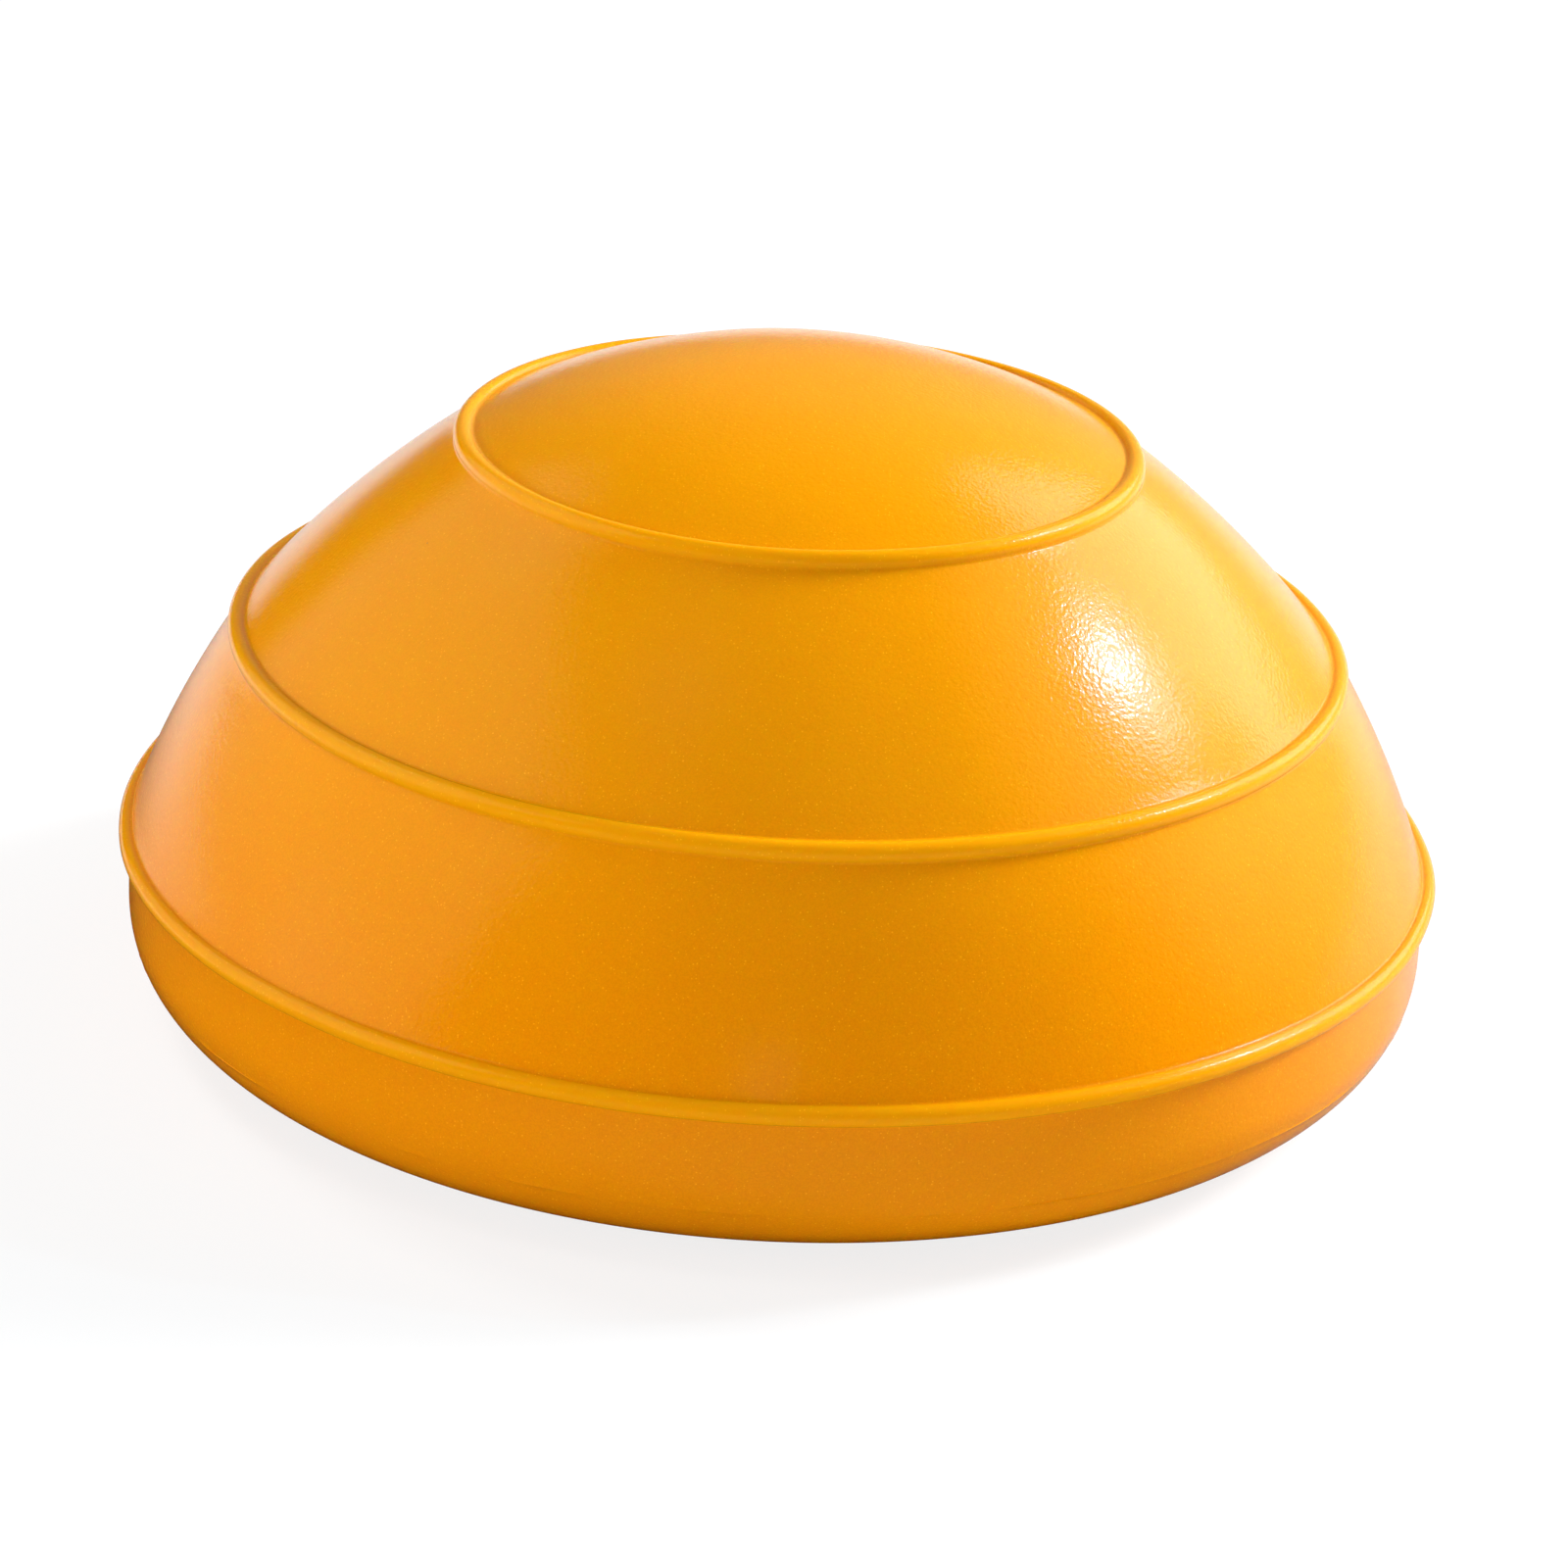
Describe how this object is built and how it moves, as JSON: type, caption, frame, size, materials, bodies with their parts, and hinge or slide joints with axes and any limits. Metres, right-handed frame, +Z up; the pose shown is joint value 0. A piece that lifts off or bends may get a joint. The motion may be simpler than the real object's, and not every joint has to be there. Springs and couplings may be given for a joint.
{
  "type": "balance pod",
  "caption": "Air-filled half-ball balance pod with raised concentric ribs, a flat foot ring and a recessed needle valve closed by a pull-out stopper.",
  "frame": {"origin": "middle of the foot ring, on the floor that the pod stands on", "axes": "+Z up along the pod's axis, through the middle of the crown; the pod is the same all round, so +X and +Y are free, and -Y faces the viewer of the picture"},
  "size_m": [0.16, 0.16, 0.0809],
  "materials": {
    "skin": "soft moulded vinyl, satin gloss with a fine orange-peel texture",
    "valve_collar": "soft vinyl, satin",
    "valve_rubber": "matt moulded rubber",
    "stopper": "moulded nylon, satin"
  },
  "bodies": {
    "pod": {"pod_shell": "skin", "valve_housing": "valve_collar", "valve_core": "valve_rubber"},
    "stopper": {"valve_stopper": "stopper"}
  },
  "joints": [
    {"name": "stopper_pull", "type": "slide", "parent": "pod", "child": "stopper", "axis": [0, 0, -1], "range_m": [0, 0.012]}
  ]
}
